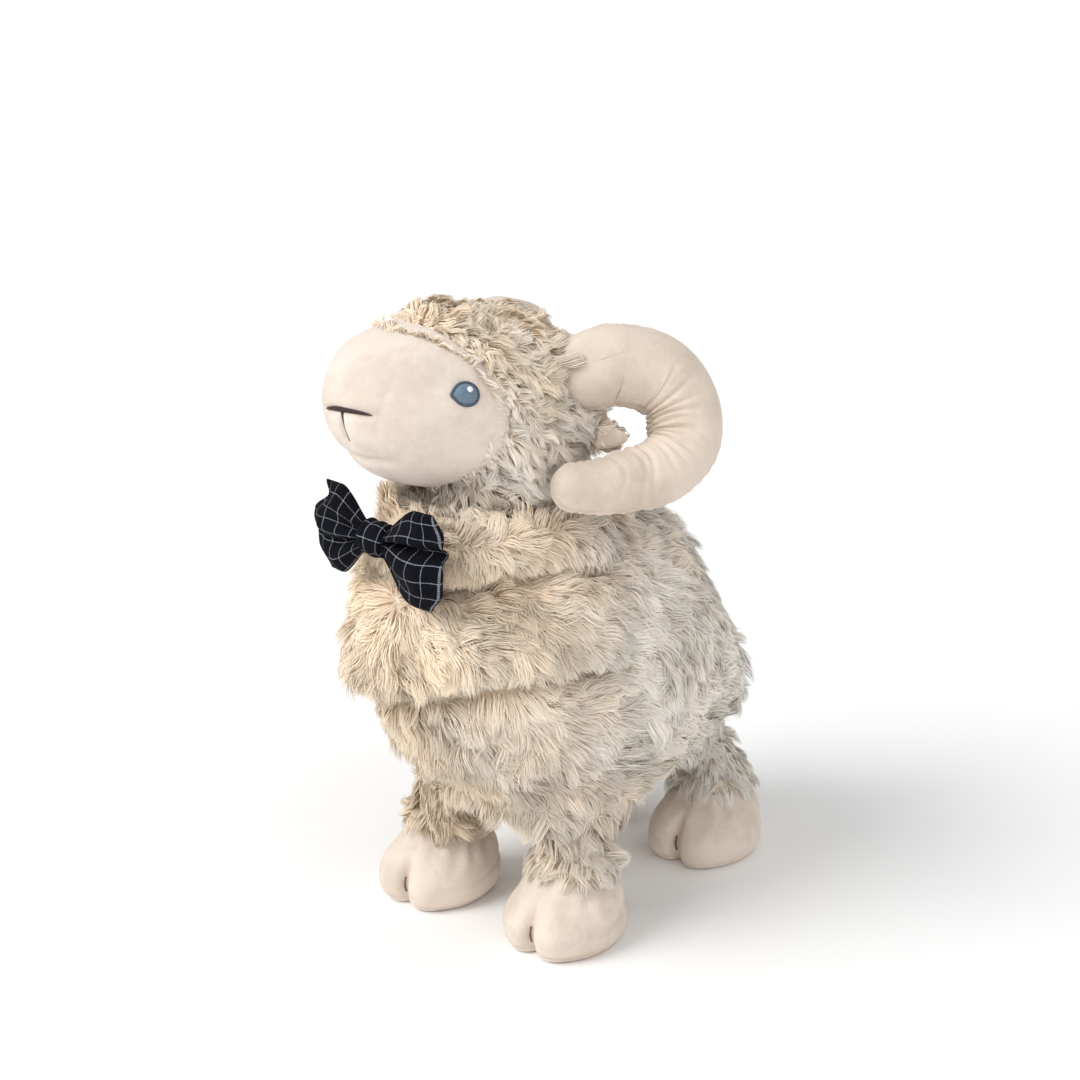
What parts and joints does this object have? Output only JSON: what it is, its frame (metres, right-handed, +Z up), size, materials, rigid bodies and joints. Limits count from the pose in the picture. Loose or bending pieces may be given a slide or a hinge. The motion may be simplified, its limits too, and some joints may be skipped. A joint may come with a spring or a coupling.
{
  "type": "plush ram toy",
  "caption": "Standing stuffed ram with long wool pile, smooth plush face, curled stuffed horns, cleft hooves and a cloth bow tie at the neck.",
  "frame": {"origin": "on the floor, under the middle of the whole toy's bounding box, from bow to tail and from horn to horn", "axes": "+Z up, -Y ahead of the ram's chest, +X to the ram's left"},
  "size_m": [0.1882, 0.2635, 0.3217],
  "materials": {
    "wool_pile": "long clumped pile",
    "short_plush": "smooth short plush",
    "wadding": "polyester fibre fill",
    "brown_thread": "stitched thread",
    "bow_cloth": "woven cotton with thin white windowpane lines",
    "eye_blue": "satin-stitch embroidery",
    "eye_white": "satin-stitch embroidery"
  },
  "bodies": {
    "torso": {"body_wool_left": "wool_pile", "body_wool_right": "wool_pile", "belly_panel": "wool_pile", "body_wadding": "wadding", "leg_wool_front_left": "wool_pile", "leg_wool_front_right": "wool_pile", "leg_wool_rear_left": "wool_pile", "leg_wool_rear_right": "wool_pile", "hoof_cover_front_left": "short_plush", "hoof_cover_front_right": "short_plush", "hoof_cover_rear_left": "short_plush", "hoof_cover_rear_right": "short_plush", "sole_front_left": "short_plush", "sole_front_right": "short_plush", "sole_rear_left": "short_plush", "sole_rear_right": "short_plush", "leg_wadding_front_left": "wadding", "leg_wadding_front_right": "wadding", "leg_wadding_rear_left": "wadding", "leg_wadding_rear_right": "wadding", "toe_stitch_front_left": "brown_thread", "toe_stitch_front_right": "brown_thread", "toe_stitch_rear_left": "brown_thread", "toe_stitch_rear_right": "brown_thread", "bow_tack_thread": "bow_cloth"},
    "neck": {"neck_wadding": "wadding"},
    "head": {"head_wool_left": "wool_pile", "head_wool_right": "wool_pile", "head_wadding": "wadding", "face_panel": "short_plush", "chin_panel": "short_plush", "eye_left": "eye_blue", "eye_right": "eye_blue", "eye_glint_left": "eye_white", "eye_glint_right": "eye_white", "nose_stitch": "brown_thread", "mouth_stitch": "brown_thread"},
    "ear_left": {"ear_wool_left": "wool_pile", "ear_lining_left": "short_plush"},
    "ear_right": {"ear_wool_right": "wool_pile", "ear_lining_right": "short_plush"},
    "horn_left": {"horn_outer_left": "short_plush", "horn_inner_left": "short_plush", "horn_wadding_left": "wadding"},
    "horn_right": {"horn_outer_right": "short_plush", "horn_inner_right": "short_plush", "horn_wadding_right": "wadding"},
    "bow": {"bow_loop_left": "bow_cloth", "bow_loop_right": "bow_cloth", "bow_knot": "bow_cloth"},
    "tail": {"tail_wool": "wool_pile"}
  },
  "joints": [
    {"name": "head_turn", "type": "hinge", "parent": "torso", "child": "neck", "pos_m": [-0.006, -0.0533, 0.266], "axis": [0, 0, 1], "range_deg": [-15, 15], "stiffness_Nm_per_rad": 0.8},
    {"name": "head_nod", "type": "hinge", "parent": "neck", "child": "head", "pos_m": [-0.006, -0.0533, 0.266], "axis": [0.9703, -0.2419, 0], "range_deg": [-3, 8], "stiffness_Nm_per_rad": 1.2},
    {"name": "horn_left_flex", "type": "hinge", "parent": "head", "child": "horn_left", "pos_m": [-0.006, -0.0533, 0.266], "axis": [0.9703, -0.2419, 0], "range_deg": [-3, 4], "stiffness_Nm_per_rad": 0.4},
    {"name": "horn_right_flex", "type": "hinge", "parent": "head", "child": "horn_right", "pos_m": [-0.006, -0.0533, 0.266], "axis": [0.9703, -0.2419, 0], "range_deg": [-3, 4], "stiffness_Nm_per_rad": 0.4},
    {"name": "ear_left_flop", "type": "hinge", "parent": "head", "child": "ear_left", "pos_m": [0.04566, -0.04098, 0.2601], "axis": [0.0378, 0.1518, 0.9877], "range_deg": [-12, 12], "stiffness_Nm_per_rad": 0.01},
    {"name": "ear_right_flop", "type": "hinge", "parent": "head", "child": "ear_right", "pos_m": [-0.04583, -0.01817, 0.2601], "axis": [0.0378, 0.1518, 0.9877], "range_deg": [-12, 12], "stiffness_Nm_per_rad": 0.01},
    {"name": "bow_swivel", "type": "hinge", "parent": "torso", "child": "bow", "pos_m": [-0.014, -0.11748, 0.218], "axis": [0, 1, 0], "range_deg": [-12, 12], "stiffness_Nm_per_rad": 0.05},
    {"name": "tail_wag", "type": "hinge", "parent": "torso", "child": "tail", "pos_m": [-0.006, 0.11587, 0.124], "axis": [0, 0, 1], "range_deg": [-20, 20], "stiffness_Nm_per_rad": 0.02}
  ]
}
